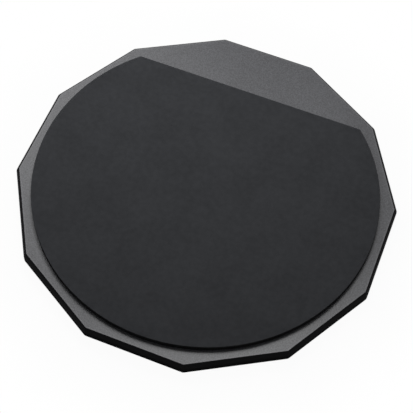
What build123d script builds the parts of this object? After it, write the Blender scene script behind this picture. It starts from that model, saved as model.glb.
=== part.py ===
from build123d import *
from math import sqrt
import os

# A single-sided drummer's practice pad: flat sheets glued above and below a twelve-sided board.
# Sizes are in millimetres. The origin is the centre of the face that the pad stands on, +Z is up,
# and +Y points away from the player, at the straight side of the rubber.


# ---- Driving dimensions -------------------------------------------------------------------------

# Board and its laminate. Twelve sides divide by three, so the three arms of a snare-drum stand
# can each grip a flat.
SIDES = 12
ACROSS_FLATS = 304.8
BOARD_THICKNESS = 12.0
LAMINATE_THICKNESS = 0.7

# Edge moulding, cut round the board once the laminate is on it. The round-over at the top is set
# shallow: its arc is tangent to the wall, and meets the flat face at an arris, which sandpaper breaks.
TOP_ROUND_RADIUS = 4.76
TOP_ROUND_WIDTH = 2.65
ARRIS_RADIUS = 0.25
BOTTOM_ROUND_RADIUS = 3.2
CORNER_LAND_RADIUS = 0.8  # corner radius that the bottom round-over leaves on the underside

# Playing rubber: a disc with one side cut straight.
RUBBER_THICKNESS = 5.3
RUBBER_MARGIN = 10.0  # from the wall of the board in to the rim of the disc
BARE_STRIP = 51.5  # from the far wall of the board in to the straight side
RUBBER_CORNER_RADIUS = 1.0
RUBBER_RIM_RADIUS = 0.4

# Non-slip sheet under the board, set back from the bottom round-over.
BASE_SHEET_THICKNESS = 2.0
BASE_SHEET_SETBACK = 1.5
BASE_SHEET_RIM_RADIUS = 0.5

# Double-sided adhesive sheets, cut a little smaller than what they hold.
BOND_THICKNESS = 0.2
BOND_SETBACK = 1.0


# ---- Levels and radii that follow ---------------------------------------------------------------

HALF_FLATS = ACROSS_FLATS / 2
SLAB_THICKNESS = BOARD_THICKNESS + LAMINATE_THICKNESS
CORNER_RADIUS = BOTTOM_ROUND_RADIUS + CORNER_LAND_RADIUS

BOARD_BOTTOM = BASE_SHEET_THICKNESS + BOND_THICKNESS
LAMINATE_BOTTOM = BOARD_BOTTOM + BOARD_THICKNESS
LAMINATE_TOP = LAMINATE_BOTTOM + LAMINATE_THICKNESS
RUBBER_BOTTOM = LAMINATE_TOP + BOND_THICKNESS


# ---- Outlines -----------------------------------------------------------------------------------


def twelve_sided(half_flats, corner_radius=0.0):
    """The board's outline at a given reach, with one side square to +X and one to +Y."""
    outline = RegularPolygon(half_flats, SIDES, major_radius=False, rotation=180 / SIDES)
    if corner_radius > 0:
        outline = fillet(outline.vertices(), corner_radius)
    return outline


def rubber_outline():
    """A disc that keeps an even margin to the board's sides, less the segment beyond the straight cut."""
    radius = HALF_FLATS - RUBBER_MARGIN
    cut = HALF_FLATS - BARE_STRIP
    half_chord = sqrt(radius**2 - cut**2)
    left = (-half_chord, cut)
    right = (half_chord, cut)
    rim = ThreePointArc(right, (0, -radius), left)
    straight = Line(left, right)
    face = make_face([rim, straight])
    return fillet(face.vertices(), RUBBER_CORNER_RADIUS)


# ---- The board and its laminate, which share one moulded edge -----------------------------------


def edge_section(plane):
    """The edge moulding in section: x runs outwards from the corner's centre, y up from the underside."""
    top_round_depth = sqrt(2 * TOP_ROUND_RADIUS * TOP_ROUND_WIDTH - TOP_ROUND_WIDTH**2)
    underside = (CORNER_LAND_RADIUS, 0)
    wall_foot = (CORNER_RADIUS, BOTTOM_ROUND_RADIUS)
    wall_head = (CORNER_RADIUS, SLAB_THICKNESS - top_round_depth)
    arris = (CORNER_RADIUS - TOP_ROUND_WIDTH, SLAB_THICKNESS)
    with BuildSketch(plane) as section:
        with BuildLine():
            Line((0, 0), underside)
            RadiusArc(underside, wall_foot, -BOTTOM_ROUND_RADIUS)
            Line(wall_foot, wall_head)
            RadiusArc(wall_head, arris, -TOP_ROUND_RADIUS)
            Polyline(arris, (0, SLAB_THICKNESS), (0, 0))
        make_face()
        fillet(section.vertices().sort_by_distance(arris)[0], ARRIS_RADIUS)
    return section.sketch


def moulded_slab():
    """Board and laminate as one slab: a plain core, with the edge section swept round it.

    The sweep turns about each corner of the core, which leaves every arris of the slab eased by
    the corner radius, as sanding does.
    """
    core_reach = HALF_FLATS - CORNER_RADIUS
    core = twelve_sided(core_reach)
    corners = core.vertices().sort_by(lambda corner: Vector(corner).get_signed_angle(Vector(-1, 0, 0)))
    start = Vector(core_reach, 0, 0)
    path = Wire.make_polygon([start, *[Vector(corner) for corner in corners]], close=True)
    section = edge_section(Plane(origin=start, x_dir=(1, 0, 0), z_dir=(0, -1, 0)))
    edge = sweep(section, path=path, transition=Transition.ROUND)
    return extrude(core, SLAB_THICKNESS) + edge


def board_and_laminate():
    """The slab, parted at the level where the laminate is pressed on to the board."""
    slab = Pos(0, 0, BOARD_BOTTOM) * moulded_slab()
    glue_line = Plane.XY.offset(LAMINATE_BOTTOM)
    board = split(slab, bisect_by=glue_line, keep=Keep.BOTTOM)
    laminate = split(slab, bisect_by=glue_line, keep=Keep.TOP)
    return board, laminate


# ---- Sheets above and below ---------------------------------------------------------------------


def playing_rubber():
    """Rubber sheet with a cut wall, its top rim just broken."""
    sheet = extrude(rubber_outline(), RUBBER_THICKNESS)
    rim = sheet.faces().sort_by(Axis.Z)[-1].edges()
    return Pos(0, 0, RUBBER_BOTTOM) * fillet(rim, RUBBER_RIM_RADIUS)


def rubber_bond_sheet():
    """Adhesive between the laminate and the rubber."""
    outline = offset(rubber_outline(), -BOND_SETBACK)
    return Pos(0, 0, LAMINATE_TOP) * extrude(outline, BOND_THICKNESS)


def base_sheet_reach():
    """Half the non-slip sheet's width over its flats: the underside's flat, less the setback."""
    return HALF_FLATS - BOTTOM_ROUND_RADIUS - BASE_SHEET_SETBACK


def nonslip_base_sheet():
    """Rubber sheet that the pad stands on, with its lower rim broken."""
    sheet = extrude(twelve_sided(base_sheet_reach(), CORNER_RADIUS), BASE_SHEET_THICKNESS)
    rim = sheet.faces().sort_by(Axis.Z)[0].edges()
    return fillet(rim, BASE_SHEET_RIM_RADIUS)


def base_bond_sheet():
    """Adhesive between the non-slip sheet and the board."""
    outline = twelve_sided(base_sheet_reach() - BOND_SETBACK, CORNER_RADIUS)
    return Pos(0, 0, BASE_SHEET_THICKNESS) * extrude(outline, BOND_THICKNESS)


# ---- Write one file for each piece --------------------------------------------------------------

base_board, top_laminate = board_and_laminate()

pieces = {
    "base_board": base_board,
    "top_laminate": top_laminate,
    "playing_rubber": playing_rubber(),
    "rubber_bond_sheet": rubber_bond_sheet(),
    "nonslip_base_sheet": nonslip_base_sheet(),
    "base_bond_sheet": base_bond_sheet(),
}

os.makedirs("parts", exist_ok=True)
for name, piece in pieces.items():
    export_step(piece, os.path.join("parts", name + ".step"))
    print(name, [round(length, 2) for length in piece.bounding_box().size])
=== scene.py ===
# %% [markdown]
# # A drummer's practice pad, dressed for its picture
#
# The pad is a stack of flat things glued together: a twelve-sided board of fibreboard, a grey
# laminate pressed on its upper face, a sheet of soft rubber to play on, and a thin non-slip sheet
# underneath. The solids already have the right shape and size, so this file adds what a drawing
# leaves out: the way that each material looks when light falls on it.

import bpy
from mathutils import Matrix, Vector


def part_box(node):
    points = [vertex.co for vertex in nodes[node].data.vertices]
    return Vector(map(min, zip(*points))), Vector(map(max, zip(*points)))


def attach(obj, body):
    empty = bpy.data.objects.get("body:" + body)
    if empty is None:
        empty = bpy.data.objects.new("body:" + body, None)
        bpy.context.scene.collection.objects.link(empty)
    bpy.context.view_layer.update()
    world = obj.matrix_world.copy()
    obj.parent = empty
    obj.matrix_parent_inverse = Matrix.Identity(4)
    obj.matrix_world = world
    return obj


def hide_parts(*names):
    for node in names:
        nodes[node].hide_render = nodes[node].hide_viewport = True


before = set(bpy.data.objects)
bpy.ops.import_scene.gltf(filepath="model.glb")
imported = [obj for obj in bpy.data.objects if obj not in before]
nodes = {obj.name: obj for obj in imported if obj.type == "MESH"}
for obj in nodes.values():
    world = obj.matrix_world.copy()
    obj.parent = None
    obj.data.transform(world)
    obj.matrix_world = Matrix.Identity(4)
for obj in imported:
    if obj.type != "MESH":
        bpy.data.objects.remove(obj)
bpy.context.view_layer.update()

print("pieces:", ", ".join(sorted(nodes)))

# %% Modules and units
import math

import bmesh
import bpy
from mathutils import Quaternion, Vector, noise

MM = 0.001

# %% [markdown]
# ## Writing a finish as sums
#
# A finish is a network of small nodes. Wired by hand it soon gets hard to read, and most of it is
# arithmetic. So one small class wraps a socket, and Python's own operators add the Math nodes:
# `1 - mask * 0.3` is then a line of a finish. A second class holds the network, and its `node`
# method adds any other node: what kind it is, its settings, and what goes into its sockets.

# %% A socket that takes part in Python sums


class Signal:
    """One output socket of a network. Adding, multiplying and so on adds Math nodes."""

    def __init__(self, network, socket):
        self.network = network
        self.socket = socket

    def maths(self, operation, *values):
        inputs = dict(enumerate(values))
        return self.network.node("ShaderNodeMath", {"operation": operation}, inputs)

    def __add__(self, other):
        return self.maths("ADD", self, other)

    def __radd__(self, other):
        return self.maths("ADD", other, self)

    def __sub__(self, other):
        return self.maths("SUBTRACT", self, other)

    def __rsub__(self, other):
        return self.maths("SUBTRACT", other, self)

    def __mul__(self, other):
        return self.maths("MULTIPLY", self, other)

    def __rmul__(self, other):
        return self.maths("MULTIPLY", other, self)

    def __mod__(self, other):
        return self.maths("FLOORED_MODULO", self, other)

    def or_more(self, other):
        """The larger of this signal and another."""
        return self.maths("MAXIMUM", self, other)

    def between(self, low, high, start=0.0, end=1.0):
        """Eases from start to end as this signal goes from low to high, and holds outside them."""
        settings = {"interpolation_type": "SMOOTHSTEP"}
        inputs = {"Value": self, "From Min": low, "From Max": high, "To Min": start, "To Max": end}
        return self.network.node("ShaderNodeMapRange", settings, inputs)


# %% A network of nodes, and the means to wire it

# Sockets of the Mix node when it mixes colours
MIX_AMOUNT, MIX_FIRST, MIX_SECOND, MIX_RESULT = 0, 6, 7, 2


class Network:
    """The nodes of a material or of the world."""

    def __init__(self, tree):
        self.tree = tree

    def node(self, kind, settings=None, inputs=None, output=0):
        """Adds a node, sets it up, fills its sockets, and gives back the output or outputs named."""
        made = self.tree.nodes.new(kind)
        for setting, value in (settings or {}).items():
            setattr(made, setting, value)
        for socket, value in (inputs or {}).items():
            self.feed(made.inputs[socket], value)
        if isinstance(output, tuple):
            return [Signal(self, made.outputs[name]) for name in output]
        return Signal(self, made.outputs[output])

    def feed(self, socket, value):
        if isinstance(value, Signal):
            self.tree.links.new(value.socket, socket)
        else:
            socket.default_value = value

    def mixed(self, amount, first, second):
        """A colour: the first where amount is 0, the second where it is 1."""
        inputs = {MIX_AMOUNT: amount, MIX_FIRST: first, MIX_SECOND: second}
        return self.node("ShaderNodeMix", {"data_type": "RGBA"}, inputs, MIX_RESULT)

    def place(self, stretch=(1.0, 1.0, 1.0)):
        """Where a point of the piece is, in millimetres, stretched along each axis."""
        metres = self.node("ShaderNodeTexCoord", output="Object")
        factors = tuple(share / MM for share in stretch)
        return self.node("ShaderNodeVectorMath", {"operation": "MULTIPLY"}, {0: metres, 1: factors})

    def parts(self, vector):
        """The X, Y and Z of a vector."""
        return self.node("ShaderNodeSeparateXYZ", None, {"Vector": vector}, ("X", "Y", "Z"))

    def grain(self, size, place, detail=2.0, roughness=0.5):
        """Soft random grain, from about 0 to 1, whose features are about `size` millimetres wide."""
        inputs = {"Vector": place, "Scale": 1 / size, "Detail": detail, "Roughness": roughness}
        return self.node("ShaderNodeTexNoise", None, inputs)

    def cells(self, size, place):
        """Packed random cells about `size` millimetres wide: 0 in the middle of each, more outwards."""
        inputs = {"Vector": place, "Scale": 1 / size}
        return self.node("ShaderNodeTexVoronoi", None, inputs, "Distance")

    def relief(self, height, depth):
        """Bumps the surface by a height signal of 0 to 1 that stands for `depth` millimetres."""
        return self.node("ShaderNodeBump", None, {"Height": height, "Distance": depth * MM})


# %% A finish is one material


class Finish(Network):
    """A material. Its shaders are built with `shader`, and `dress` puts it on pieces."""

    def __init__(self, name):
        self.material = bpy.data.materials.new(name)
        self.material.use_nodes = True
        super().__init__(self.material.node_tree)
        self.tree.nodes.remove(self.tree.nodes["Principled BSDF"])

    def shader(self, colour, roughness, normal, gloss):
        """One kind of surface. Gloss is the same all over it: a usual varnish is 0.5, and 0 is none."""
        inputs = {
            "Base Color": colour,
            "Roughness": roughness,
            "Normal": normal,
            "Specular IOR Level": gloss,
        }
        return self.node("ShaderNodeBsdfPrincipled", None, inputs)

    def one_or_other(self, share, first, second):
        """A shader: the first where share is 0, the second where it is 1."""
        return self.node("ShaderNodeMixShader", None, {0: share, 1: first, 2: second})

    def dress(self, shader, *pieces):
        """Shows the shader, and puts the finished material on each piece."""
        self.feed(self.tree.nodes["Material Output"].inputs["Surface"], shader)
        for piece in pieces:
            piece.data.materials.clear()
            piece.data.materials.append(self.material)


def grey(level, blue=1.0, green=1.0):
    """A near-neutral colour in linear light. Blue and green above 1 cool it."""
    return (level, level * green, level * blue, 1.0)


# %% [markdown]
# ## Distance from the board's edge
#
# Wear, paint and handling follow the edge of the board, so its finishes need to know how near the
# edge a point is. That could be painted on the mesh by hand, but a formula needs no painting and
# stays sharp at any distance. On a regular twelve-sided plate it is one line of school geometry:
# fold the plate's twelve equal wedges on to one, and a point lies as far out towards that wedge's
# side as its radius times the cosine of its folded angle.

# %% How far out a point lies, and how high

SIDES = 12
WEDGE = 2 * math.pi / SIDES


def reach_and_height(network):
    """Millimetres from the middle of the pad, square to the nearest side, and up from the table."""
    x, y, z = network.parts(network.place())
    radius = x.maths("SQRT", x * x + y * y)
    angle = y.maths("ARCTAN2", y, x)
    folded = (angle + WEDGE / 2) % WEDGE - WEDGE / 2
    return radius * folded.maths("COSINE", folded), z


# %% [markdown]
# ## Black paint
#
# The board and its laminate are cut and rounded over together with a router, sealed, and sprayed
# satin black. Up close the paint shows two things: the faint lines that the router leaves along
# the wall, and the soft orange-peel of sprayed paint. Both are far too shallow for the mesh, so
# they are bumps in the shader. Where hands and stands touch the paint, along the wall and most of
# all at its foot, it is rubbed a little paler and smoother. Wear is often found from the sharp
# edges of a mesh, but this moulding is round, so it is found from the reach and the height.
#
# The laminate's cut edge wears the same paint, so the paint is a function: it adds the same shader
# to either finish, and the two meet without a seam.

# %% Black paint, for the board and for the laminate's edge

PAINT = grey(0.003, blue=1.15)
PAINT_RUBBED = grey(0.016, blue=1.1)
ALONG_THE_WALL = (0.04, 0.04, 1.6)

board_low, board_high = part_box("base_board")
board_reach = board_high.x / MM
board_foot = board_low.z / MM


def black_paint(finish):
    """Satin black paint on the moulded edge, as a shader of this finish."""
    reach, height = reach_and_height(finish)
    peel = finish.grain(size=0.9, place=finish.place(), detail=1.0)
    router_lines = finish.grain(size=1.0, place=finish.place(ALONG_THE_WALL), detail=3.0)
    scuffs = finish.grain(size=6.0, place=finish.place((1.0, 1.0, 2.0)), detail=6.0, roughness=0.7)
    near_foot = height.between(board_foot + 2.5, board_foot + 0.5)
    near_wall = reach.between(board_reach - 3.0, board_reach - 0.5)
    wear_and_highlight = near_wall * scuffs.between(0.5, 0.75) * (0.4 + 0.6 * near_foot)
    return finish.shader(
        colour=finish.mixed(wear_and_highlight, PAINT, PAINT_RUBBED),
        roughness=0.36 + 0.18 * scuffs - 0.1 * wear_and_highlight,
        normal=finish.relief(peel * 0.4 + router_lines * 0.6, depth=0.05),
        gloss=0.045,
    )


board_finish = Finish("black_paint")
board_finish.dress(black_paint(board_finish), nodes["base_board"])
print("board:", round(2 * board_reach, 1), "mm over flats")

# %% [markdown]
# ## The grey laminate
#
# The upper face is a hard decorative laminate with a fine pebble grain, which hides fingerprints
# and stops the glare that a smooth sheet would have. The grain is two things at once: small
# rounded pebbles that bump the surface, with slightly darker valleys between them, and a speckle
# in the colour itself, over clouds so faint that they are hardly seen. A tiled picture could hold
# all of that, but it would repeat across the sheet and blur close up, so cells and noise make it.
# Along the arris the colour is painted a little brighter, a painted highlight where the edge
# catches the light. Outside the arris the paint begins.

# %% Where the laminate's face ends


def reach_of_top(piece):
    """How far the flat upper face of a piece reaches along X, in millimetres."""
    corners = [piece.matrix_world @ vertex.co for vertex in piece.data.vertices]
    top = max(corner.z for corner in corners)
    return max(corner.x for corner in corners if top - corner.z < 0.001 * MM) / MM


laminate_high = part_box("top_laminate")[1]
laminate_top = laminate_high.z / MM
arris_reach = reach_of_top(nodes["top_laminate"])
print("laminate face: reaches", round(arris_reach, 2), "mm, at", round(laminate_top, 2), "mm")

# %% Pebble-grained laminate

LAMINATE_DARK = grey(0.0405, blue=1.09, green=1.01)
LAMINATE_PALE = grey(0.091, blue=1.09, green=1.01)
ARRIS_HIGHLIGHT = grey(0.14, blue=1.04)

laminate = Finish("grey_laminate")
spot = laminate.place()
reach, height = reach_and_height(laminate)

pebbles = 1 - laminate.cells(size=1.2, place=spot).between(0.15, 0.75)
tooth = laminate.grain(size=0.4, place=spot)
speckle = laminate.grain(size=0.9, place=spot, roughness=0.6).between(0.35, 0.65)
clouds = laminate.grain(size=38.0, place=spot).between(0.3, 0.7)

shade = speckle * 0.6 + pebbles * 0.25 + clouds * 0.15
face_colour = laminate.mixed(shade, LAMINATE_DARK, LAMINATE_PALE)
# A painted highlight: the face is coloured brighter towards the arris, where it catches the light.
wear_and_highlight = reach.between(arris_reach - 1.4, arris_reach - 0.2) * (0.25 + 0.2 * speckle)
face = laminate.shader(
    colour=laminate.mixed(wear_and_highlight, face_colour, ARRIS_HIGHLIGHT),
    roughness=0.3 + 0.08 * tooth,
    normal=laminate.relief(pebbles * 0.7 + tooth * 0.3, depth=0.025),
    gloss=0.33,
)
painted = height.between(laminate_top - 0.04, laminate_top - 0.09)
face_and_edge = laminate.one_or_other(painted, face, black_paint(laminate))
laminate.dress(face_and_edge, nodes["top_laminate"])
print("laminate finish:", len(laminate.tree.nodes), "nodes")

# %% [markdown]
# ## A sheet of rubber as a mesh
#
# Both rubber sheets are cut from flat stock, so the same functions make both. A sheet starts as an
# outline: a closed line of points. It could be traced from the edge of the solid, but it is laid
# from plain arcs and straight lines, as its cutting die was, because that puts the points where
# the face inside them needs them.

# %% Arcs, lines, and the outlines of the two sheets

ORIGIN = Vector((0, 0, 0))


def polar(centre, radius, angle):
    """The point at this distance and angle, in degrees, from a centre."""
    turn = math.radians(angle)
    return centre + radius * Vector((math.cos(turn), math.sin(turn), 0))


def arc(centre, radius, start, end, steps):
    """Points along an arc, from angle start to angle end in degrees, without its last point."""
    return [polar(centre, radius, start + (end - start) * step / steps) for step in range(steps)]


def line(start, end, steps):
    """Points along a straight line, without its last point."""
    return [start.lerp(end, step / steps) for step in range(steps)]


CORNER_STEPS = 6


def disc_with_straight_side(radius, cut, corner, points):
    """Outline of a disc cut off straight at y = cut, with its two corners rounded."""
    corner_y = cut - corner
    corner_x = math.sqrt((radius - corner) ** 2 - corner_y**2)
    lean = math.degrees(math.atan2(corner_y, corner_x))
    straight_steps = points // 5
    rim_steps = points - straight_steps - 2 * CORNER_STEPS
    right = Vector((corner_x, corner_y, 0))
    left = Vector((-corner_x, corner_y, 0))
    up = Vector((0, corner, 0))
    return (
        arc(ORIGIN, radius, -180 - lean, lean, rim_steps)
        + arc(right, corner, lean, 90, CORNER_STEPS)
        + line(right + up, left + up, straight_steps)
        + arc(left, corner, 90, 180 - lean, CORNER_STEPS)
    )


def rounded_dodecagon(reach, corner, points):
    """Outline of a twelve-sided plate, with a side square to each axis and rounded corners."""
    side_steps = points // SIDES - CORNER_STEPS
    centre_radius = (reach - corner) / math.cos(WEDGE / 2)
    half = math.degrees(WEDGE / 2)
    outline = []
    for side in range(SIDES):
        middle = math.degrees(side * WEDGE)
        before = polar(ORIGIN, centre_radius, middle - half)
        after = polar(ORIGIN, centre_radius, middle + half)
        outwards = polar(ORIGIN, corner, middle)
        outline += line(before + outwards, after + outwards, side_steps)
        outline += arc(after, corner, middle, middle + 2 * half, CORNER_STEPS)
    return outline


# %% [markdown]
# ### The face inside an outline
#
# An outline could be filled with one many-sided face, but such a face can't be anything but flat.
# A round net with a pinched point in the middle shades like a star. So the face is a square
# dartboard: rows and columns of four-sided patches whose rings are the outline again, only
# smaller. Each ring has eight points more than the ring inside it, so an outline's number of
# points is a multiple of eight. That lets the face carry the very slight unevenness of rubber that
# was cured between plates.

# %% Unevenness, and the square dartboard

UNEVENNESS = 0.03 * MM
BROAD_WAVE = 32 * MM
SHORT_WAVE = 11 * MM


def unevenness(flat, share):
    """How far in from flat a pressed face lies: nothing at its rim, a few hundredths inside it."""
    wave = noise.noise(flat / BROAD_WAVE) + 0.4 * noise.noise(flat / SHORT_WAVE)
    return UNEVENNESS * (1 + wave) * (1 - share**8)


def ring_place(column, row):
    """Which ring of the square dartboard a grid point is on, and how far round it, from 0 to 1."""
    ring = max(abs(column), abs(row))
    if ring == 0:
        return 0, 0.0
    if column == ring and row < ring:
        steps = row + ring
    elif row == ring and column > -ring:
        steps = 3 * ring - column
    elif column == -ring and row > -ring:
        steps = 5 * ring - row
    else:
        steps = 7 * ring + column
    return ring, (steps % (8 * ring)) / (8 * ring)


def along(outline, share):
    """The point a given share of the way round the outline."""
    index = share * len(outline)
    whole = int(index)
    return outline[whole % len(outline)].lerp(outline[(whole + 1) % len(outline)], index - whole)


def face_grid(mesh, outline, height, inwards, rings):
    """Fills the outline with a grid of four-sided patches, and returns its rim, point by point."""
    centre = sum(outline, Vector()) / len(outline)
    grid = {}
    rim = {}
    for column in range(-rings, rings + 1):
        for row in range(-rings, rings + 1):
            ring, share = ring_place(column, row)
            flat = centre.lerp(along(outline, share), ring / rings)
            level = height + inwards * unevenness(flat, ring / rings)
            grid[column, row] = mesh.verts.new((flat.x, flat.y, level))
            if ring == rings:
                rim[round(share * len(outline)) % len(outline)] = grid[column, row]
    for column in range(-rings, rings):
        for row in range(-rings, rings):
            corners = [(column, row), (column + 1, row), (column + 1, row + 1), (column, row + 1)]
            mesh.faces.new([grid[corner] for corner in corners])
    return [rim[index] for index in range(len(outline))]


# %% [markdown]
# ### The cut wall
#
# A sheet is punched out with a blade die. As the blade goes in, the rubber bulges, so when it
# springs back the cut wall is slightly hollow. The rim of the face that shows is broken by hand.
# A bevel would round the rim, but leave the wall straight. So the wall is the outline again at
# several heights, moved in by a little more or a little less.

# %% From an outline to a closed sheet

RIM_STEPS = 4
WALL_STEPS = 6
RUBBER_HOLLOW = 0.15 * MM


def moved_in(outline, inset):
    """The outline moved inwards by `inset`, square to itself."""
    moved = []
    for index, point in enumerate(outline):
        ahead = outline[(index + 1) % len(outline)] - outline[index - 1]
        inwards = Vector((-ahead.y, ahead.x, 0)).normalized()
        moved.append(point + inwards * inset)
    return moved


def cut_wall(shown, glued, rim):
    """How far in and how high, step by step, from the face that shows to the one that is glued."""
    inwards = math.copysign(1, glued - shown)
    wall = []
    for step in range(RIM_STEPS + 1):
        turn = math.pi / 2 * step / RIM_STEPS
        wall.append((rim * (1 - math.sin(turn)), shown + inwards * rim * (1 - math.cos(turn))))
    below_rim = shown + inwards * rim
    for step in range(1, WALL_STEPS + 1):
        share = step / WALL_STEPS
        wall.append((RUBBER_HOLLOW * math.sin(math.pi * share), below_rim + (glued - below_rim) * share))
    return wall


def rubber_sheet(name, outline, shown, glued, rim):
    """A closed sheet, from the heights of the face that shows and the one that is glued."""
    mesh = bmesh.new()
    rings = len(outline) // 8
    last = face_grid(mesh, moved_in(outline, rim), shown, math.copysign(1, glued - shown), rings)
    for inset, height in cut_wall(shown, glued, rim)[1:]:
        ring = [mesh.verts.new((point.x, point.y, height)) for point in moved_in(outline, inset)]
        for index, vertex in enumerate(ring):
            mesh.faces.new([last[index - 1], ring[index - 1], vertex, last[index]])
        last = ring
    mesh.faces.new(last)
    bmesh.ops.recalc_face_normals(mesh, faces=mesh.faces)
    for face in mesh.faces:
        face.smooth = len(face.verts) == 4
    data = bpy.data.meshes.new(name)
    mesh.to_mesh(data)
    mesh.free()
    piece = bpy.data.objects.new(name, data)
    bpy.context.collection.objects.link(piece)
    return piece


# %% [markdown]
# ## The playing rubber
#
# The playing sheet is gum rubber about 5 mm thick, soft enough for a stick to bounce as it does on
# a drum head. Its straight side leaves a strip of laminate bare at the far side. The solid has this
# shape too, but with a dead flat face and a dead straight wall, so the modelled sheet takes its
# place. It gets its reach and its heights from the solid's box.

# %% Playing rubber: its shape

RUBBER_CORNER = 1.0 * MM
RUBBER_RIM = 0.4 * MM
RUBBER_POINTS = 560

rubber_low, rubber_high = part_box("playing_rubber")
rubber_outline = disc_with_straight_side(rubber_high.x, rubber_high.y, RUBBER_CORNER, RUBBER_POINTS)
playing_rubber = rubber_sheet(
    "playing_sheet", rubber_outline, shown=rubber_high.z, glued=rubber_low.z, rim=RUBBER_RIM
)
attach(playing_rubber, "root")
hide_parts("playing_rubber")
print("playing rubber:", len(playing_rubber.data.polygons), "faces")

# %% [markdown]
# ### Gum rubber
#
# Gum rubber filled with carbon black is charcoal, not black, and almost without gloss. In one even
# colour it would look like grey card, because rubber is never quite even: it has broad, faint
# clouds from pressing, small patches of dry bloom, a fine grain and a few paler specks of dust. So
# each of these is a noise of its own size. The rim is handled most, and is worn a little paler and
# smoother. The cut wall shows the upright drag lines of the blade. Its colour is painted far darker
# than the face: in part fresh black rubber, in part painted shade, as the wall faces away from the
# lamps.

# %% Playing rubber: its finish

RUBBER_DARK = grey(0.0273, blue=1.12, green=1.035)
RUBBER_PALE = grey(0.0382, blue=1.12, green=1.035)
DUSTY = grey(0.07)
WALL_SHADE_DARK = grey(0.003, blue=1.05)
WALL_SHADE_PALE = grey(0.011, blue=1.05)
DOWN_THE_WALL = (1.0, 1.0, 0.08)
WORN_WIDTH = 1.5

gum_rubber = Finish("gum_rubber")
spot = gum_rubber.place()
x, y, z = gum_rubber.parts(spot)

skin = gum_rubber.grain(size=0.6, place=spot, detail=3.0, roughness=0.6)
clouds = gum_rubber.grain(size=26.0, place=spot, detail=3.0, roughness=0.55).between(0.3, 0.7)
bloom = gum_rubber.grain(size=5.0, place=spot, detail=4.0, roughness=0.6)
dust = gum_rubber.grain(size=1.4, place=spot, detail=1.0).between(0.74, 0.82)
drag_lines = gum_rubber.grain(size=0.7, place=gum_rubber.place(DOWN_THE_WALL), detail=3.0)

radius = x.maths("SQRT", x * x + y * y)
out_from_disc = radius - rubber_high.x / MM
out_from_cut = y - rubber_high.y / MM
rim_worn = out_from_disc.or_more(out_from_cut).between(-WORN_WIDTH, 0.0) * bloom.between(0.4, 0.65)
top_face = z.between(rubber_high.z / MM - 0.45, rubber_high.z / MM - 0.1)

shade = clouds * 0.33 + bloom.between(0.3, 0.7) * 0.45 + skin * 0.22
face_colour = gum_rubber.mixed(shade, RUBBER_DARK, RUBBER_PALE)
marked = gum_rubber.mixed(dust * 0.25 + rim_worn * 0.12, face_colour, DUSTY)
# Painted shade: the cut wall is coloured far darker than the face, partly for fresh cut rubber and
# partly for the shade on a wall that faces away from the lamps.
shaded_wall_colour = gum_rubber.mixed(drag_lines.between(0.3, 0.7), WALL_SHADE_DARK, WALL_SHADE_PALE)

rubber_shader = gum_rubber.shader(
    colour=gum_rubber.mixed(top_face, shaded_wall_colour, marked),
    roughness=0.72 + 0.1 * bloom - 0.08 * rim_worn,
    normal=gum_rubber.relief(skin * top_face + drag_lines * (1 - top_face), depth=0.05),
    gloss=0.025,
)
gum_rubber.dress(rubber_shader, playing_rubber)
print("gum rubber:", len(gum_rubber.tree.nodes), "nodes")

# %% [markdown]
# ## The non-slip sheet
#
# Nothing shows underneath from the player's side, but the pad has to stay put on a table: a thin
# sheet of tacky black rubber covers the flat of the underside. Such sheet is cured against cloth,
# which leaves a fine woven imprint on the face that meets the table. The imprint could be cut into
# the mesh, but it would take millions of faces, and two crossed waves in the bump look the same.

# %% Non-slip sheet: its shape

BASE_CORNER = 4.0 * MM
BASE_RIM = 0.5 * MM
BASE_POINTS = 432

base_low, base_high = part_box("nonslip_base_sheet")
base_outline = rounded_dodecagon(base_high.x, BASE_CORNER, BASE_POINTS)
base_sheet = rubber_sheet(
    "nonslip_sheet", base_outline, shown=base_low.z, glued=base_high.z, rim=BASE_RIM
)
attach(base_sheet, "root")
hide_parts("nonslip_base_sheet")
print("non-slip sheet:", len(base_sheet.data.polygons), "faces")

# %% Non-slip sheet: its finish

BASE_DARK = grey(0.016, blue=1.05)
BASE_PALE = grey(0.026, blue=1.02)
WEAVE_PITCH = 0.9

cloth_cured_rubber = Finish("cloth_cured_rubber")
spot = cloth_cured_rubber.place()
x, y, _ = cloth_cured_rubber.parts(spot)

warp = x.maths("SINE", x * (2 * math.pi / WEAVE_PITCH))
weft = y.maths("SINE", y * (2 * math.pi / WEAVE_PITCH))
weave = 0.5 + 0.25 * warp + 0.25 * weft
clouds = cloth_cured_rubber.grain(size=30.0, place=spot, detail=3.0).between(0.3, 0.7)
grime = cloth_cured_rubber.grain(size=4.0, place=spot, detail=5.0, roughness=0.65)

shade = clouds * 0.5 + grime.between(0.35, 0.75) * 0.5
base_shader = cloth_cured_rubber.shader(
    colour=cloth_cured_rubber.mixed(shade, BASE_DARK, BASE_PALE),
    roughness=0.7 + 0.15 * grime,
    normal=cloth_cured_rubber.relief(weave * 0.8 + grime * 0.2, depth=0.08),
    gloss=0.2,
)
cloth_cured_rubber.dress(base_shader, base_sheet)
print("cloth-cured rubber:", len(cloth_cured_rubber.tree.nodes), "nodes")

# %% [markdown]
# ## The adhesive sheets
#
# Each rubber sheet is held by a thin sheet of double-sided adhesive, cut a little smaller than the
# rubber. All that shows of it is the dark hairline that its edge, set back, leaves at the rubber's
# foot. A plain colour would do for that. The film gets its small bubbles and waxy sheen all the
# same, for whoever lifts the rubber off on screen.

# %% Adhesive film

FILM_DARK = grey(0.02, blue=0.9)
FILM_PALE = grey(0.045, blue=0.85)

adhesive_film = Finish("adhesive_film")
spot = adhesive_film.place()

bubbles = adhesive_film.cells(size=2.5, place=spot)
ripples = adhesive_film.grain(size=8.0, place=spot, detail=4.0)

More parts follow.
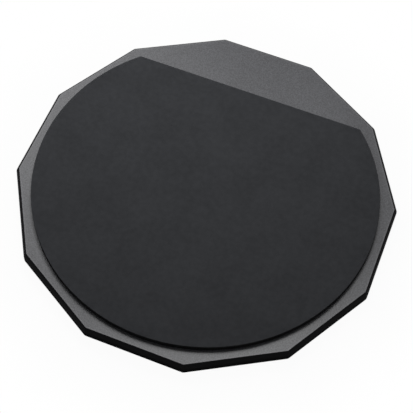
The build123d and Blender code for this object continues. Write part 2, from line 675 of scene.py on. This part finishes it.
shade = bubbles.between(0.1, 0.5) * 0.5 + ripples * 0.5
film_shader = adhesive_film.shader(
    colour=adhesive_film.mixed(shade, FILM_DARK, FILM_PALE),
    roughness=0.38 + 0.2 * ripples,
    normal=adhesive_film.relief(bubbles, depth=0.03),
    gloss=0.4,
)
adhesive_film.dress(film_shader, nodes["rubber_bond_sheet"], nodes["base_bond_sheet"])
print("adhesive film:", len(adhesive_film.tree.nodes), "nodes")

# %% [markdown]
# ## The table
#
# The pad is shown on plain white, as in a catalogue. With nothing but white round it, it would
# float, so the floor is a large white card that keeps its shadow. To the camera the card glows
# white, apart from a trace of that shadow close by. To a gloss it glows only well away from the
# pad, and is nearly black right beside it: so the black wall reflects shade towards its foot, as
# it does on a real table. To plain light it is ordinary white card.

# %% Floor

CARD = grey(0.6)
CARD_IN_SHADE = grey(0.02)
WHITE = grey(1.0)
FLOOR_HALF = 6.0
SHADOW_SEEN = 0.04
GLOW_STARTS = board_reach - 2.0
GLOW_FULL = board_reach + 78.0
SHADE_STARTS = board_reach
SHADE_ENDS = board_reach + 20.0


def backdrop_rays(network):
    """Two signals: 1 for rays from the camera, and 1 for rays from a gloss or a clear piece."""
    names = ("Is Camera Ray", "Is Glossy Ray", "Is Transmission Ray")
    camera, gloss, clear = network.node("ShaderNodeLightPath", None, None, names)
    return camera, gloss.or_more(clear)


white_card = Finish("white_card")
camera_rays, gloss_rays = backdrop_rays(white_card)
reach, _ = reach_and_height(white_card)
away = reach.between(GLOW_STARTS, GLOW_FULL)
glow_share = (camera_rays * (1 - SHADOW_SEEN * (1 - away))).or_more(gloss_rays * away)
shade_in_gloss = gloss_rays * (1 - reach.between(SHADE_STARTS, SHADE_ENDS))

fibres = white_card.grain(size=1.5, place=white_card.place(), detail=3.0)
card = white_card.shader(
    colour=white_card.mixed(shade_in_gloss, CARD, CARD_IN_SHADE),
    roughness=0.9,
    normal=white_card.relief(fibres, depth=0.02),
    gloss=0.5,
)
glow = white_card.node("ShaderNodeEmission", None, {"Color": WHITE, "Strength": 1.0})
card_or_glow = white_card.one_or_other(glow_share, card, glow)

# %% Lay the floor

floor_mesh = bpy.data.meshes.new("floor")
floor_corners = [
    (-FLOOR_HALF, -FLOOR_HALF, 0.0),
    (FLOOR_HALF, -FLOOR_HALF, 0.0),
    (FLOOR_HALF, FLOOR_HALF, 0.0),
    (-FLOOR_HALF, FLOOR_HALF, 0.0),
]
floor_mesh.from_pydata(floor_corners, [], [(0, 1, 2, 3)])
floor = bpy.data.objects.new("floor", floor_mesh)
bpy.context.collection.objects.link(floor)
white_card.dress(card_or_glow, floor)
print("floor:", 2 * FLOOR_HALF, "m wide")

# %% [markdown]
# ## The room
#
# The room is white to the camera and to a gloss. It could light the pad by itself, but light from
# all round shows no shape. So its plain light is low, and the two softboxes give most of the light.

# %% World

ROOM_LIGHT = 0.1

world = bpy.data.worlds.new("studio")
world.use_nodes = True
bpy.context.scene.world = world
room = Network(world.node_tree)
camera_rays, gloss_rays = backdrop_rays(room)
white_seen = camera_rays.or_more(gloss_rays)
background = room.tree.nodes["Background"]
room.feed(background.inputs["Color"], WHITE)
room.feed(background.inputs["Strength"], white_seen.between(0.0, 1.0, start=ROOM_LIGHT, end=1.0))
print("room light:", ROOM_LIGHT)

# %% [markdown]
# ## Lamps
#
# Two square softboxes stand close to the pad. The key is on the far left, half-way up, so the
# light falls off from the far left corner to the near right, and the rubber throws its soft shadow
# towards the player. The second is almost overhead, a little behind the pad: its glow in the
# laminate keeps the near border bright. One lamp could not do both, because the matt rubber shows
# how much light falls on it, and the satin laminate shows where the light comes from.

# %% Soft lamps


def seen_from(azimuth, elevation):
    """The direction from the pad to something at this azimuth and elevation, in degrees.

    Azimuth 0 is the player's side, and 90 the player's right.
    """
    turn, rise = math.radians(azimuth), math.radians(elevation)
    level = math.cos(rise)
    return Vector((math.sin(turn) * level, -math.cos(turn) * level, math.sin(rise)))


def softbox(name, azimuth, elevation, distance, size, power):
    """A square lamp of the given size that faces the middle of the pad."""
    lamp = bpy.data.lights.new(name, "AREA")
    lamp.shape = "SQUARE"
    lamp.size = size
    lamp.energy = power
    holder = bpy.data.objects.new(name, lamp)
    out = seen_from(azimuth, elevation)
    holder.location = out * distance
    holder.rotation_mode = "QUATERNION"
    holder.rotation_quaternion = (-out).to_track_quat("-Z", "Y")
    bpy.context.collection.objects.link(holder)
    print(name, "at", [round(value, 2) for value in holder.location], "m")


softbox("key_softbox", azimuth=234, elevation=43.5, distance=0.58, size=0.39, power=1.67)
softbox("overhead_softbox", azimuth=190, elevation=71.8, distance=0.58, size=0.25, power=2.04)

# %% [markdown]
# ## Camera
#
# A long lens looks down from above the player's right shoulder, which shows the whole face and
# the wall on the player's side. A short lens close by could frame the pad too, but would swell its
# near side. The roll turns the picture a little, so that the bare strip slopes across it.

# %% Camera

VIEW_AZIMUTH = 18.13
VIEW_ELEVATION = 60.15
VIEW_ROLL = 3.61
VIEW_DISTANCE = 0.9133
VIEW_LENS = 97.83
VIEW_AIM_X = 6.5 * MM
VIEW_AIM_Y = -15.5 * MM

camera = bpy.data.cameras.new("camera")
camera.lens = VIEW_LENS
camera.sensor_width = 36
camera_holder = bpy.data.objects.new("camera", camera)
bpy.context.collection.objects.link(camera_holder)
bpy.context.scene.camera = camera_holder

to_camera = seen_from(VIEW_AZIMUTH, VIEW_ELEVATION)
aim = Vector((VIEW_AIM_X, VIEW_AIM_Y, laminate_high.z))
roll = Quaternion((0, 0, 1), math.radians(VIEW_ROLL))
camera_holder.location = aim + to_camera * VIEW_DISTANCE
camera_holder.rotation_mode = "QUATERNION"
camera_holder.rotation_quaternion = (-to_camera).to_track_quat("-Z", "Y") @ roll

bpy.context.scene.view_settings.view_transform = "Standard"
print("camera at", [round(value, 3) for value in camera_holder.location], "m")
